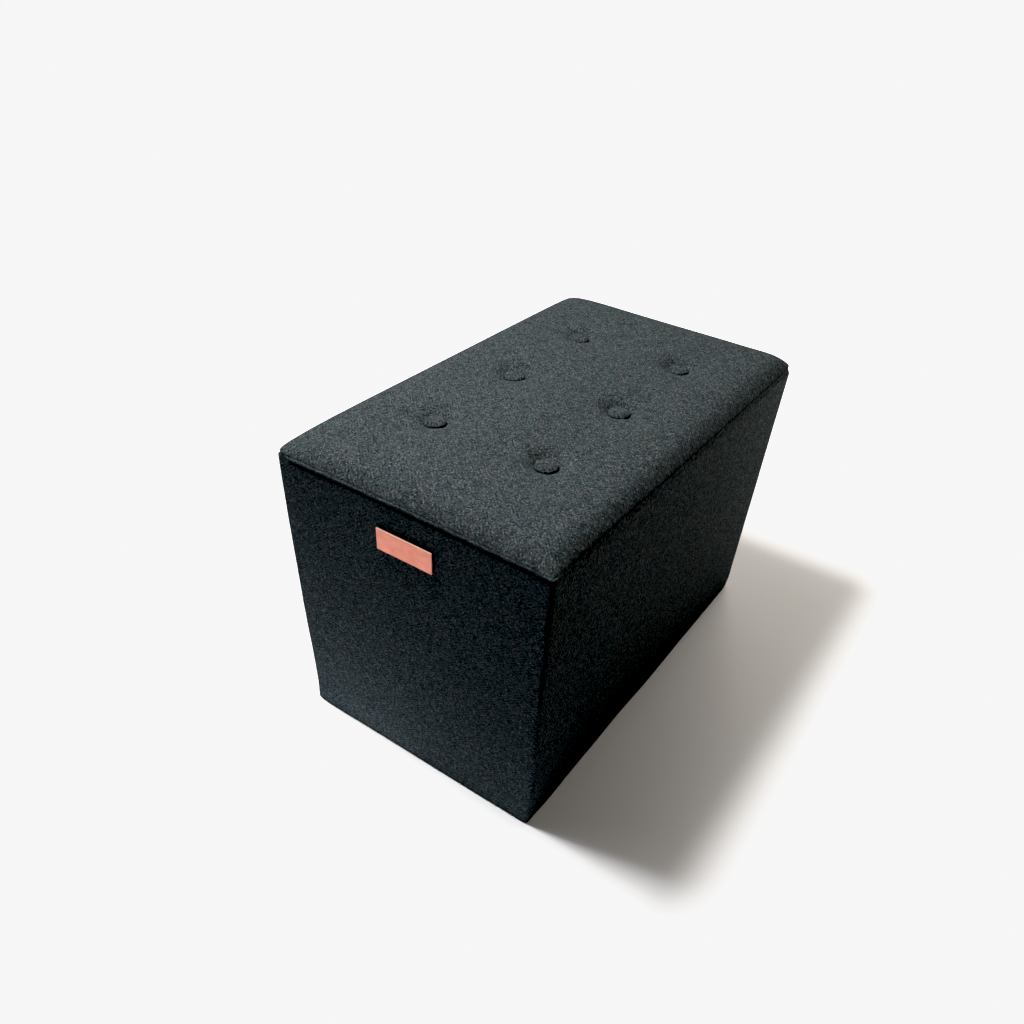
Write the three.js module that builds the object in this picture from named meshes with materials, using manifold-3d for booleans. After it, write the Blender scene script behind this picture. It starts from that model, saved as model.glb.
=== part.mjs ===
// Upholstered storage bench: a cloth-covered box with a padded, buttoned lid that lifts off.
// Millimetres, +Z up. The origin is on the floor under the middle of the bench.
// The end with the plate faces -Y, and the bench's length runs along Y.
import * as THREE from "three";
import { mergeVertices } from "three/addons/utils/BufferGeometryUtils.js";
import Module from "manifold-3d";

// Driving dimensions
const GAP = 0.3;
const box = { width: 357, length: 600, height: 378 };
const wall = { thickness: 15, cornerRadius: 6, footRadius: 4, rimRadius: 2.5 };
const base = { thickness: 10 };
const lid = { edgeHeight: 5, tuckRadius: 3, rollWidth: 30, rollHeight: 13.1, crown: 4.4 };
const lidCorner = { radius: 7, growth: 1.2, zone: 90, fall: 0.38, fallReach: 52 };
const lidBoard = { thickness: 12, clearance: 4 };
const button = { radius: 15, height: 7.8, rimHeight: 2.6 };
const buttonBack = { radius: 12.5, sideRadius: 14.4, sideHeight: 0.9 };
const buttonSpacing = { across: 150, along: 156 };
const dimple = { floor: 10.8, seatRadius: 17, reach: 9, falloff: 1.1 };
const plate = { width: 74, height: 27, thickness: 1.5, cornerRadius: 2, belowRim: 47 };

// Fineness of the curved surfaces
const CORNER_STEPS = 6;
const ROUND_STEPS = 4;
const TUCK_STEPS = 3;
const ROLL_STEPS = 8;
const BUTTON_SEGMENTS = 24;
const DOME_STEPS = 6;
const PLATE_CORNER_STEPS = 3;
const DIMPLE_OFFSETS = [0, 8, 13, 17, 22, 29, 40];
const WIDEST_GRID_STEP = 30;

// How far cutting shapes run past what they cut
const CUT_MARGIN = 10;

const QUARTER = Math.PI / 2;

const cloth = { color: 0x3d4143, roughness: 0.95, metalness: 0 };
const plainCloth = { color: 0x2b2d2f, roughness: 0.95, metalness: 0 };
const copper = { color: 0xd8907a, roughness: 0.35, metalness: 0.9 };

const wasm = await Module();
wasm.setup();

// Closed mesh helpers

function closedGeometry(points, triangles) {
  const geometry = new THREE.BufferGeometry();
  geometry.setAttribute("position", new THREE.Float32BufferAttribute(points.flat(), 3));
  geometry.setIndex(triangles.flat());
  geometry.computeVertexNormals();
  return geometry;
}

function toSolid(geometry) {
  const bare = geometry.clone();
  bare.deleteAttribute("normal");
  bare.deleteAttribute("uv");
  const merged = mergeVertices(bare, 1e-4);
  return new wasm.Manifold(new wasm.Mesh({
    numProp: 3,
    vertProperties: merged.attributes.position.array,
    triVerts: Uint32Array.from(merged.index.array),
  }));
}

function toGeometry(solid) {
  const mesh = solid.getMesh();
  const geometry = new THREE.BufferGeometry();
  geometry.setAttribute("position", new THREE.Float32BufferAttribute(mesh.vertProperties, 3));
  geometry.setIndex(Array.from(mesh.triVerts));
  geometry.computeVertexNormals();
  return geometry;
}

// Sides between two loops of equal length, both anticlockwise from above, the first one lower.
function bandTriangles(lower, upper) {
  const triangles = [];
  lower.forEach((a, i) => {
    const next = (i + 1) % lower.length;
    triangles.push([a, lower[next], upper[next]], [a, upper[next], upper[i]]);
  });
  return triangles;
}

// Flat end over a loop, as a fan about a middle point. It faces up, or down when asked.
function fanTriangles(loop, middle, faceDown) {
  return loop.map((a, i) => {
    const b = loop[(i + 1) % loop.length];
    return faceDown ? [middle, b, a] : [middle, a, b];
  });
}

function pushLoop(points, loop) {
  const first = points.length;
  points.push(...loop);
  return loop.map((_, i) => first + i);
}

// Anticlockwise rounded rectangle at one height.
function roundedLoop(halfX, halfY, radius, z) {
  const corners = [[1, 1, 0], [-1, 1, 1], [-1, -1, 2], [1, -1, 3]];
  return corners.flatMap(([signX, signY, quarter]) =>
    Array.from({ length: CORNER_STEPS + 1 }, (_, k) => {
      const angle = (quarter + k / CORNER_STEPS) * QUARTER;
      return [
        signX * (halfX - radius) + radius * Math.cos(angle),
        signY * (halfY - radius) + radius * Math.sin(angle),
        z,
      ];
    }));
}

// The box: one block with a rounded foot and rim, hollowed and cut into four walls at its corners

function roundedBlock() {
  const levels = [];
  for (let k = 0; k <= ROUND_STEPS; k += 1) {
    const angle = (k / ROUND_STEPS) * QUARTER;
    levels.push({
      inset: wall.footRadius * (1 - Math.sin(angle)),
      z: wall.footRadius * (1 - Math.cos(angle)),
    });
  }
  for (let k = 0; k <= ROUND_STEPS; k += 1) {
    const angle = (k / ROUND_STEPS) * QUARTER;
    levels.push({
      inset: wall.rimRadius * (1 - Math.cos(angle)),
      z: box.height - wall.rimRadius * (1 - Math.sin(angle)),
    });
  }
  const points = [];
  const loops = levels.map(({ inset, z }) =>
    pushLoop(points, roundedLoop(box.width / 2 - inset, box.length / 2 - inset, wall.cornerRadius, z)));
  const triangles = loops.slice(1).flatMap((loop, i) => bandTriangles(loops[i], loop));
  const [bottom, top] = [points.push([0, 0, 0]) - 1, points.push([0, 0, box.height]) - 1];
  triangles.push(...fanTriangles(loops[0], bottom, true), ...fanTriangles(loops.at(-1), top, false));
  return toSolid(closedGeometry(points, triangles));
}

function cavity() {
  const geometry = new THREE.BoxGeometry(
    box.width - 2 * wall.thickness, box.length - 2 * wall.thickness, box.height + 2 * CUT_MARGIN);
  geometry.translate(0, 0, box.height / 2);
  return toSolid(geometry);
}

// Prism that keeps the wall on one side, cut back at both ends by 45 degree planes through the corners.
function mitrePrism(side) {
  const alongX = side.x !== 0;
  const reach = (alongX ? box.width : box.length) / 2;
  const halfSpan = (alongX ? box.length : box.width) / 2 - (GAP / 2) * Math.SQRT2;
  const depth = wall.thickness + CUT_MARGIN;
  const near = reach - depth;
  const far = reach + CUT_MARGIN;
  const outline = [
    [near, -(halfSpan - depth)],
    [far, -(halfSpan + CUT_MARGIN)],
    [far, halfSpan + CUT_MARGIN],
    [near, halfSpan - depth],
  ].map(([out, along]) => new THREE.Vector2(out, along));
  const geometry = new THREE.ExtrudeGeometry(new THREE.Shape(outline), {
    depth: box.height + 2 * CUT_MARGIN, bevelEnabled: false,
  });
  geometry.translate(0, 0, -CUT_MARGIN);
  geometry.rotateZ(Math.atan2(side.y, side.x));
  return toSolid(geometry);
}

const shell = roundedBlock().subtract(cavity());

function wallGeometry(side) {
  return toGeometry(shell.intersect(mitrePrism(side)));
}

function baseGeometry() {
  const width = box.width - 2 * wall.thickness - 2 * GAP;
  const length = box.length - 2 * wall.thickness - 2 * GAP;
  return new THREE.BoxGeometry(width, length, base.thickness);
}

function plateGeometry() {
  const { width, height, thickness, cornerRadius: radius } = plate;
  const outline = new THREE.Shape();
  outline.absarc(width / 2 - radius, height / 2 - radius, radius, 0, QUARTER);
  outline.absarc(radius - width / 2, height / 2 - radius, radius, QUARTER, 2 * QUARTER);
  outline.absarc(radius - width / 2, radius - height / 2, radius, 2 * QUARTER, 3 * QUARTER);
  outline.absarc(width / 2 - radius, radius - height / 2, radius, 3 * QUARTER, 4 * QUARTER);
  return new THREE.ExtrudeGeometry(outline, {
    depth: thickness, bevelEnabled: false, curveSegments: PLATE_CORNER_STEPS,
  });
}

// The lid pad, flush with the box. Heights are above its flat underside.

const pad = { halfX: box.width / 2, halfY: box.length / 2 };

const columns = [-0.5, 0.5].map((k) => k * buttonSpacing.across);
const rows = [-1, 0, 1].map((k) => k * buttonSpacing.along);
const buttonPlaces = rows.flatMap((y) => columns.map((x) => ({ x, y })));

const rollInsets = Array.from({ length: ROLL_STEPS + 1 }, (_, k) =>
  lid.rollWidth * (1 - Math.cos((k / ROLL_STEPS) * QUARTER)));

// Contours further in have a larger corner radius, so the pad's corners fall away softly.
function contourRadius(inset) {
  return Math.min(lidCorner.radius + lidCorner.growth * inset, lidCorner.zone - inset);
}

// The rolled edge rises from the outline, and less near a corner, where the cloth pulls it down.
function rollHeight(x, y, inset) {
  const fromCorner = Math.hypot(pad.halfX - Math.abs(x), pad.halfY - Math.abs(y));
  const fall = lidCorner.fall * Math.exp(-((fromCorner / lidCorner.fallReach) ** 2));
  const outward = 1 - Math.min(inset / lid.rollWidth, 1);
  return lid.edgeHeight + (1 - fall) * lid.rollHeight * Math.sqrt(1 - outward * outward);
}

function crownHeight(x, y) {
  const acrossX = x / (pad.halfX - lid.rollWidth);
  const acrossY = y / (pad.halfY - lid.rollWidth);
  return lid.crown * Math.max(0, 1 - acrossX ** 2) * Math.max(0, 1 - acrossY ** 4);
}

// The cloth is pulled down to one level under each button and rises smoothly round it.
function pulledDown(height, x, y) {
  return buttonPlaces.reduce((level, place) => {
    const beyond = Math.max(0, Math.hypot(x - place.x, y - place.y) - dimple.seatRadius);
    const pull = Math.exp(-((beyond / dimple.reach) ** dimple.falloff));
    return level - pull * (height - dimple.floor);
  }, height);
}

function padHeight(x, y, inset) {
  return pulledDown(rollHeight(x, y, inset) + crownHeight(x, y), x, y);
}

// Grid lines for one direction: the rolled edges, the rings of each dimple, and even steps between.
function gridLines(half, centres) {
  const edges = rollInsets.flatMap((inset) => [inset - half, half - inset]);
  const dimples = centres.flatMap((centre) =>
    DIMPLE_OFFSETS.flatMap((offset) => (offset ? [centre - offset, centre + offset] : [centre])));
  const lines = [...edges, ...dimples].sort((a, b) => a - b);
  return lines.flatMap((line, i) => {
    if (i === 0) return [line];
    const step = line - lines[i - 1];
    const count = Math.ceil(step / WIDEST_GRID_STEP);
    return Array.from({ length: count }, (_, k) => lines[i - 1] + (step * (k + 1)) / count);
  });
}

const across = gridLines(pad.halfX, columns);
const along = gridLines(pad.halfY, rows);

// Place on the contour at one inset for a grid point that lies in a corner, as distances from the middle.
// The point's share of the way to the diagonal is kept along the contour's straight stretch and its arc.
function cornerPlace(share, inset, halfSide, halfOther) {
  const radius = contourRadius(inset);
  const straight = lidCorner.zone - inset - radius;
  const way = share * (straight + (radius * Math.PI) / 4);
  if (way <= straight) return [halfSide - inset, halfOther - lidCorner.zone + way];
  const angle = (way - straight) / radius;
  return [
    halfSide - inset - radius + radius * Math.cos(angle),
    halfOther - inset - radius + radius * Math.sin(angle),
  ];
}

// Plan position of a grid point, moved inward by a given extra inset where it is on the outline.
function planPlace(i, j, extraInset) {
  const [u, v] = [across[i], along[j]];
  const [fromSideX, fromSideY] = [pad.halfX - Math.abs(u), pad.halfY - Math.abs(v)];
  const gridInset = Math.min(fromSideX, fromSideY);
  const inset = gridInset + extraInset;
  const zone = lidCorner.zone;
  let [x, y] = [Math.abs(u), Math.abs(v)];
  if (fromSideX < zone && fromSideY < zone) {
    const onSideX = fromSideX <= fromSideY;
    const share = (zone - Math.max(fromSideX, fromSideY)) / (zone - gridInset);
    if (onSideX) [x, y] = cornerPlace(share, inset, pad.halfX, pad.halfY);
    else [y, x] = cornerPlace(share, inset, pad.halfY, pad.halfX);
  } else if (fromSideX < fromSideY) {
    x -= extraInset;
  } else {
    y -= extraInset;
  }
  return { x: Math.sign(u) * x, y: Math.sign(v) * y, inset };
}

// Grid indices of the outline, anticlockwise from above.
function outlineIndices() {
  const [lastI, lastJ] = [across.length - 1, along.length - 1];
  const indices = [];
  for (let i = 0; i < lastI; i += 1) indices.push([i, 0]);
  for (let j = 0; j < lastJ; j += 1) indices.push([lastI, j]);
  for (let i = lastI; i > 0; i -= 1) indices.push([i, lastJ]);
  for (let j = lastJ; j > 0; j -= 1) indices.push([0, j]);
  return indices;
}

function padGeometry() {
  const points = [];
  const triangles = [];
  const top = across.map((_, i) => along.map((__, j) => {
    const { x, y, inset } = planPlace(i, j, 0);
    return points.push([x, y, padHeight(x, y, inset)]) - 1;
  }));
  for (let i = 0; i + 1 < across.length; i += 1) {
    for (let j = 0; j + 1 < along.length; j += 1) {
      const [a, b, c, d] = [top[i][j], top[i + 1][j], top[i + 1][j + 1], top[i][j + 1]];
      const splitFromA = (across[i] + across[i + 1]) * (along[j] + along[j + 1]) < 0;
      if (splitFromA) triangles.push([a, b, d], [b, c, d]);
      else triangles.push([a, b, c], [a, c, d]);
    }
  }
  const outline = outlineIndices();
  let upper = outline.map(([i, j]) => top[i][j]);
  for (let k = 0; k <= TUCK_STEPS; k += 1) {
    const angle = (k / TUCK_STEPS) * QUARTER;
    const extraInset = lid.tuckRadius * (1 - Math.cos(angle));
    const z = lid.tuckRadius * (1 - Math.sin(angle));
    const loop = outline.map(([i, j]) => {
      const { x, y } = planPlace(i, j, extraInset);
      return [x, y, z];
    });
    const lower = pushLoop(points, loop);
    triangles.push(...bandTriangles(lower, upper));
    upper = lower;
  }
  const middle = points.push([0, 0, 0]) - 1;
  triangles.push(...fanTriangles(upper, middle, true));
  return closedGeometry(points, triangles);
}

function lidBoardGeometry() {
  const inside = wall.thickness + lidBoard.clearance;
  return new THREE.BoxGeometry(
    box.width - 2 * inside, box.length - 2 * inside, lidBoard.thickness);
}

// A low covered dome on a smaller flat back, turned about Z.
function buttonGeometry() {
  const { radius, rimHeight, height } = button;
  const profile = [
    new THREE.Vector2(0, 0),
    new THREE.Vector2(buttonBack.radius, 0),
    new THREE.Vector2(buttonBack.sideRadius, buttonBack.sideHeight),
  ];
  for (let k = 0; k <= DOME_STEPS; k += 1) {
    const angle = (k / DOME_STEPS) * QUARTER;
    const r = k === DOME_STEPS ? 0 : radius * Math.cos(angle);
    profile.push(new THREE.Vector2(r, rimHeight + (height - rimHeight) * Math.sin(angle)));
  }
  const geometry = new THREE.LatheGeometry(profile, BUTTON_SEGMENTS);
  geometry.rotateX(QUARTER);
  return toGeometry(toSolid(geometry));
}

// The scene graph

function piece(name, geometry, finish) {
  const mesh = new THREE.Mesh(geometry, new THREE.MeshStandardMaterial(finish));
  mesh.name = name;
  return mesh;
}

const boxGroup = new THREE.Group();
const sides = {
  front_wall: { x: 0, y: -1 },
  back_wall: { x: 0, y: 1 },
  left_wall: { x: -1, y: 0 },
  right_wall: { x: 1, y: 0 },
};
for (const [name, side] of Object.entries(sides)) boxGroup.add(piece(name, wallGeometry(side), cloth));

const baseBoard = piece("base_board", baseGeometry(), plainCloth);
baseBoard.position.z = base.thickness / 2;
boxGroup.add(baseBoard);

const endPlate = piece("end_plate", plateGeometry(), copper);
endPlate.position.set(0, -box.length / 2 - GAP, box.height - plate.belowRim);
endPlate.rotation.x = QUARTER;
boxGroup.add(endPlate);

const lidGroup = new THREE.Group();
lidGroup.position.z = box.height + GAP;
lidGroup.add(piece("lid_pad", padGeometry(), cloth));

const board = piece("lid_board", lidBoardGeometry(), plainCloth);
board.position.z = -GAP - lidBoard.thickness / 2;
lidGroup.add(board);

buttonPlaces.forEach(({ x, y }, k) => {
  const covered = piece(`button_${k + 1}`, buttonGeometry(), cloth);
  covered.position.set(x, y, dimple.floor + GAP);
  lidGroup.add(covered);
});

const bench = new THREE.Group();
bench.add(boxGroup, lidGroup);

export default bench;
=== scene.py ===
# Looks of an upholstered storage bench: a cloth-covered box, a buttoned pad for a lid and a bare metal plate.
# Metres, +Z up. The end with the plate faces -Y.
import math

import bpy
import numpy as np
from mathutils import Matrix, Vector, noise


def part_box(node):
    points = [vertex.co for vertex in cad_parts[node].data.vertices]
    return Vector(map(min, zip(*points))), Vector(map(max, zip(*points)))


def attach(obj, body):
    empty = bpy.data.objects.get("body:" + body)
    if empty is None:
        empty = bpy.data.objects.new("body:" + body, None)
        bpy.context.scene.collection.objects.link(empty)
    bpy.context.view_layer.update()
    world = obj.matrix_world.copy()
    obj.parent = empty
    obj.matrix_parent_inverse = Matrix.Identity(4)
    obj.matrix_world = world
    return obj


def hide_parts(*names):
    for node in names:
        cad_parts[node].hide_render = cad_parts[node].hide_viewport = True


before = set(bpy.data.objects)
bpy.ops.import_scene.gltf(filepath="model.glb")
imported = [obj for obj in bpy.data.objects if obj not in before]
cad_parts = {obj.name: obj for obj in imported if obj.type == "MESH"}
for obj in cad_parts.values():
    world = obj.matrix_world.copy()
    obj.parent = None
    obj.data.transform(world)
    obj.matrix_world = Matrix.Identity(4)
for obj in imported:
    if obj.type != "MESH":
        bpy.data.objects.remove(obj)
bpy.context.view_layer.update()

MM = 0.001
TINY = 1e-9

# Sizes that come from the frame
WALL_FRONT_LOW, WALL_FRONT_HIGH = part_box("front_wall")
WALL_RIGHT_LOW, WALL_RIGHT_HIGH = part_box("right_wall")
PAD_LOW, PAD_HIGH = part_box("lid_pad")
PLATE_LOW, PLATE_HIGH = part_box("end_plate")
HALF_WIDTH = WALL_RIGHT_HIGH.x
HALF_LENGTH = -WALL_FRONT_LOW.y
BOX_HEIGHT = WALL_FRONT_HIGH.z
WALL_THICKNESS = WALL_RIGHT_HIGH.x - WALL_RIGHT_LOW.x
PAD_HALF_X = PAD_HIGH.x
PAD_HALF_Y = PAD_HIGH.y
PAD_BOTTOM = PAD_LOW.z
BUTTON_NODES = [f"button_{k}" for k in range(1, 7)]

# The camera stands where the photograph was taken, in metres and degrees
CAMERA_PLACE = (0.4538, -0.8002, 0.8268)
CAMERA_AZIMUTH = 32.278
CAMERA_ELEVATION = 42.513
CAMERA_ROLL = 3.939
PICTURE_SIZE = 1024
FOCAL_PIXELS = 803.7
OPTICAL_ROW = 640
SENSOR_WIDTH = 36.0
NEAREST_SEEN = 0.01


def photo_camera():
    azimuth, elevation, roll = (math.radians(a) for a in (CAMERA_AZIMUTH, CAMERA_ELEVATION, CAMERA_ROLL))
    back = Vector((
        math.sin(azimuth) * math.cos(elevation),
        -math.cos(azimuth) * math.cos(elevation),
        math.sin(elevation),
    ))
    level_right = (-back).cross(Vector((0, 0, 1))).normalized()
    level_up = level_right.cross(-back)
    right = math.cos(roll) * level_right + math.sin(roll) * level_up
    up = -math.sin(roll) * level_right + math.cos(roll) * level_up
    data = bpy.data.cameras.new("photo_camera")
    data.sensor_width = SENSOR_WIDTH
    data.lens = FOCAL_PIXELS / PICTURE_SIZE * SENSOR_WIDTH
    data.shift_y = (OPTICAL_ROW - PICTURE_SIZE / 2) / PICTURE_SIZE
    data.clip_start = NEAREST_SEEN
    camera = bpy.data.objects.new("photo_camera", data)
    axes = Matrix((right, up, back)).transposed().to_4x4()
    camera.matrix_world = Matrix.Translation(CAMERA_PLACE) @ axes
    bpy.context.scene.collection.objects.link(camera)
    bpy.context.scene.camera = camera


# Meshes from points and faces

def new_piece(name, points, faces):
    mesh = bpy.data.meshes.new(name)
    places = [tuple(p) for p in np.asarray(points, float)]
    mesh.from_pydata(places, [], [tuple(int(i) for i in face) for face in faces])
    mesh.validate()
    mesh.shade_smooth()
    piece = bpy.data.objects.new(name, mesh)
    bpy.context.scene.collection.objects.link(piece)
    return piece


def read_points(piece):
    points = np.zeros(len(piece.data.vertices) * 3)
    piece.data.vertices.foreach_get("co", points)
    return points.reshape(-1, 3)


def write_points(piece, points):
    piece.data.vertices.foreach_set("co", np.asarray(points, float).ravel())
    piece.data.update()


# Quads between neighbouring points of a grid of indices, closed along each axis where asked.
def grid_quads(indices, close_rows=False, close_columns=False):
    if close_rows:
        indices = np.vstack([indices, indices[:1]])
    if close_columns:
        indices = np.hstack([indices, indices[:, :1]])
    quads = np.stack([indices[:-1, :-1], indices[1:, :-1], indices[1:, 1:], indices[:-1, 1:]], -1)
    return quads.reshape(-1, 4)


def smooth_step(low, high, value):
    t = np.clip((value - low) / (high - low), 0, 1)
    return t * t * (3 - 2 * t)


# How far the noise moves along each axis from one seed to the next
NOISE_STRIDE = (7.31, 3.17, 5.73)


# Smooth random numbers from -1 to 1 at each point, the same on every run.
def soft_noise(points, scale, seed):
    shift = Vector([seed * stride for stride in NOISE_STRIDE])
    return np.array([noise.noise(Vector(p) / scale + shift) for p in points])


# The lid pad, in the sizes of its solid

ROLL_WIDTH = 30 * MM
ROLL_HEIGHT = 13.1 * MM
PAD_EDGE_HEIGHT = 5 * MM
ROLL_STEPS = 5
PAD_STEP = 6.4 * MM

# The top is crowned, and flatter along than across
PAD_CROWN = 7.2 * MM
CROWN_FLATNESS = {"across": 2.2, "along": 4}

# Corners in plan: radius at the outline and its growth inward, for the soft corners and for the near one
CORNER_RADIUS = (7 * MM, 4 * MM)
CORNER_GROWTH = (1.2, 0.7)
CORNER_ZONE = 90 * MM

# Each corner of the roll sags by a share of its height
CORNER_FALL = {"left front": 0.38, "near": 0.1, "left back": 0.3, "right back": 0.2}
CORNER_FALL_REACH = 52 * MM

# The seat under a button: its floor, and the lip round it where the cloth comes up
SEAT_FLOOR = 11.4 * MM
SEAT_RADIUS = 12.0 * MM
SEAT_LIP = 13.7 * MM
SEAT_LIP_HEIGHT = 11.8 * MM

# A dimple is steep on the side that its button pulls towards, and shallow across from it.
# Each pair is the middle value and what the pull's side adds to it.
DIMPLE_REACH = (11.6 * MM, -2.0 * MM)
DIMPLE_FALLOFF = (1.08, 0.12)
PULL_DIRECTION = (-0.98, 0.2)

# Creases that run out from a button: how many, and how far they turn from one button to the next, in radians
PULL_CREASES = 1.6 * MM
CREASE_WAVES = [(5, 2.1), (8, -1.3)]

# Each side rolls over in its own way: width, height where it begins, fullness, uprightness (0.5 is a circle)
SIDE_ROLLS = {
    "left": (28 * MM, 5.0 * MM, 0.4 * MM, 0.5),
    "right": (24 * MM, 2.0 * MM, 2.6 * MM, 1.0),
    "front": (20 * MM, 2.2 * MM, 0.0, 1.0),
    "back": (30 * MM, 5.0 * MM, 0.3 * MM, 0.5),
}
SIDE_BLEND = 12 * MM
FULLNESS_FADE = (28 * MM, 100 * MM)

# On the right the seam lies further in, which leaves a dark groove under the roll
RIGHT_RECESS = 3.6 * MM
RECESS_FADE = 30 * MM

# Below the roll the cloth is drawn in to a crease and then turns over the board's edge in a small lip.
# Both are given by their inset from the outline and their height over the pad's underside.
ROLL_TUCK = 0.6 * MM
CREASE = (1.2 * MM, 1.7 * MM)
LIP_SECTION = [
    (-0.2 * MM, 1.1 * MM),
    (-1.2 * MM, 0.2 * MM),
    (-1.4 * MM, -0.9 * MM),
    (-0.7 * MM, -2.1 * MM),
    (0.5 * MM, -2.7 * MM),
    (1.5 * MM, -2.4 * MM),
    (2.1 * MM, -1.3 * MM),
]
LIP_INNER = 2.4 * MM

# The lip fades towards the right, is bunched at the near corner and is tucked in at the others
LIP_FADE = 0.85
BUNCH_REACH = 7 * MM
BUNCH_PROUD = 1.2 * MM
TUCK_REACH = 13 * MM
TUCK_DEPTH = 3.6 * MM
BACK_TUCK = 1.0 * MM

# Soft unevenness of the pad in millimetres: x, y, reach across, reach along, lift
PAD_LIFTS = [
    (-178, 300, 75, 60, 3.0),
    (178, 300, 40, 50, 3.6),
    (-178, -240, 40, 60, -1.2),
    (-168, 110, 30, 130, 0.7),
    (0, 292, 150, 25, 0.5),
    (-60, -235, 50, 30, -0.4),
]

# Between its corners the seam bows inward, or outward on the right
SEAM_BOW = {"front": 2.2 * MM, "back": 1.2 * MM, "left": 0.3 * MM, "right": -1.0 * MM}

# Pressure in the pad swells the cloth between what holds it
SWELL_FRAMES = 20
SWELL_PRESSURE = 2.0
SWELL_CAP = 4 * MM
SWELL_ROOM = 1.3 * MM
CLOTH_QUALITY = 5
CLOTH_MASS = 0.3
CLOTH_BENDING = 2.0
CLOTH_TENSION = 15.0

# Where the cloth becomes free to swell: in from the edge, out from a button and up from the seam
FREE_INSET = (8 * MM, 40 * MM)
FREE_FROM_BUTTON = (28 * MM, 50 * MM)
FREE_HEIGHT = 3 * CREASE[1]


def button_middles():
    middles = []
    for node in BUTTON_NODES:
        low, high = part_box(node)
        middles.append(((low.x + high.x) / 2, (low.y + high.y) / 2))
    return middles


# The near corner is sharper than the others.
def contour_radius(inset, near):
    sharp = CORNER_RADIUS[1] + CORNER_GROWTH[1] * inset
    soft = CORNER_RADIUS[0] + CORNER_GROWTH[0] * inset
    return np.minimum(np.where(near, sharp, soft), CORNER_ZONE - inset)


# Width, height at the seam, fullness and uprightness of the roll, blended from the sides that lie nearest.
def roll_shape(x, y):
    distance = {
        "left": PAD_HALF_X + x,
        "right": PAD_HALF_X - x,
        "front": PAD_HALF_Y + y,
        "back": PAD_HALF_Y - y,
    }
    nearest = np.min(list(distance.values()), axis=0)
    weights = {side: np.exp((nearest - away) / SIDE_BLEND) for side, away in distance.items()}
    total = sum(weights.values())
    return [sum(weights[side] * SIDE_ROLLS[side][k] for side in weights) / total for k in range(4)]


def roll_height(x, y, inset):
    from_corner = np.hypot(PAD_HALF_X - np.abs(x), PAD_HALF_Y - np.abs(y))
    front = np.where(x > 0, CORNER_FALL["near"], CORNER_FALL["left front"])
    back = np.where(x > 0, CORNER_FALL["right back"], CORNER_FALL["left back"])
    fall = np.where(y < 0, front, back) * np.exp(-((from_corner / CORNER_FALL_REACH) ** 2))
    width, edge, fullness, upright = roll_shape(x, y)
    outward = 1 - np.clip(inset / width, 0, 1)
    height = PAD_EDGE_HEIGHT + ROLL_HEIGHT + fullness * (1 - smooth_step(*FULLNESS_FADE, inset))
    return edge + (1 - fall) * (height - edge) * (1 - outward ** 2) ** upright


# How far the seam and what lies along it move inward from a straight side.
def seam_bow(x, y):
    across, along = 1 - (x / HALF_WIDTH) ** 2, 1 - (y / HALF_LENGTH) ** 2
    right, back = smooth_step(0, HALF_WIDTH, x), smooth_step(0, HALF_LENGTH, y)
    left, front = smooth_step(0, HALF_WIDTH, -x), smooth_step(0, HALF_LENGTH, -y)
    shift_x = (left * SEAM_BOW["left"] - right * SEAM_BOW["right"]) * np.clip(along, 0, 1)
    shift_y = (front * SEAM_BOW["front"] - back * SEAM_BOW["back"]) * np.clip(across, 0, 1)
    return shift_x, shift_y


def crown_height(x, y):
    across = np.clip(1 - (np.abs(x) / (PAD_HALF_X - ROLL_WIDTH)) ** CROWN_FLATNESS["across"], 0, None)
    along = np.clip(1 - (y / (PAD_HALF_Y - ROLL_WIDTH)) ** CROWN_FLATNESS["along"], 0, None)
    return PAD_CROWN * across * along


def uneven_lift(x, y):
    lift = np.zeros_like(x)
    for place_x, place_y, reach_x, reach_y, amount in PAD_LIFTS:
        apart = ((x / MM - place_x) / reach_x) ** 2 + ((y / MM - place_y) / reach_y) ** 2
        lift += amount * MM * np.exp(-apart)
    return lift


def pulled_down(height, x, y):
    for k, (middle_x, middle_y) in enumerate(button_middles()):
        away_x, away_y = x - middle_x, y - middle_y
        radius = np.hypot(away_x, away_y)
        toward = (away_x * PULL_DIRECTION[0] + away_y * PULL_DIRECTION[1]) / np.maximum(radius, TINY)
        beyond = np.clip(radius - SEAT_LIP, 0, None)
        reach = DIMPLE_REACH[0] + DIMPLE_REACH[1] * toward
        falloff = DIMPLE_FALLOFF[0] + DIMPLE_FALLOFF[1] * toward
        depth = np.exp(-((beyond / reach) ** falloff))
        angle = np.arctan2(away_y, away_x)
        creases = sum(np.sin(count * angle + turn * k) for count, turn in CREASE_WAVES)
        height = height - depth * (height - SEAT_LIP_HEIGHT)
        height = height + PULL_CREASES * creases * depth * (1 - depth)
    return height


# Height of the pad's top over its underside, away from the seam.
def top_height(x, y, inset):
    lift = uneven_lift(x, y) * smooth_step(0, ROLL_WIDTH / 2, inset)
    return roll_height(x, y, inset) + crown_height(x, y) + lift


# Grid lines from edge to edge, even in the middle and closer together towards the outline.
def pad_lines(half, step):
    roll = ROLL_WIDTH * (1 - np.cos(np.linspace(0, math.pi / 2, ROLL_STEPS + 1)))
    inner = np.linspace(-(half - ROLL_WIDTH), half - ROLL_WIDTH, 2 * round((half - ROLL_WIDTH) / step) + 1)
    return np.concatenate([roll[:-1] - half, inner, (half - roll[:-1])[::-1]])


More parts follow.
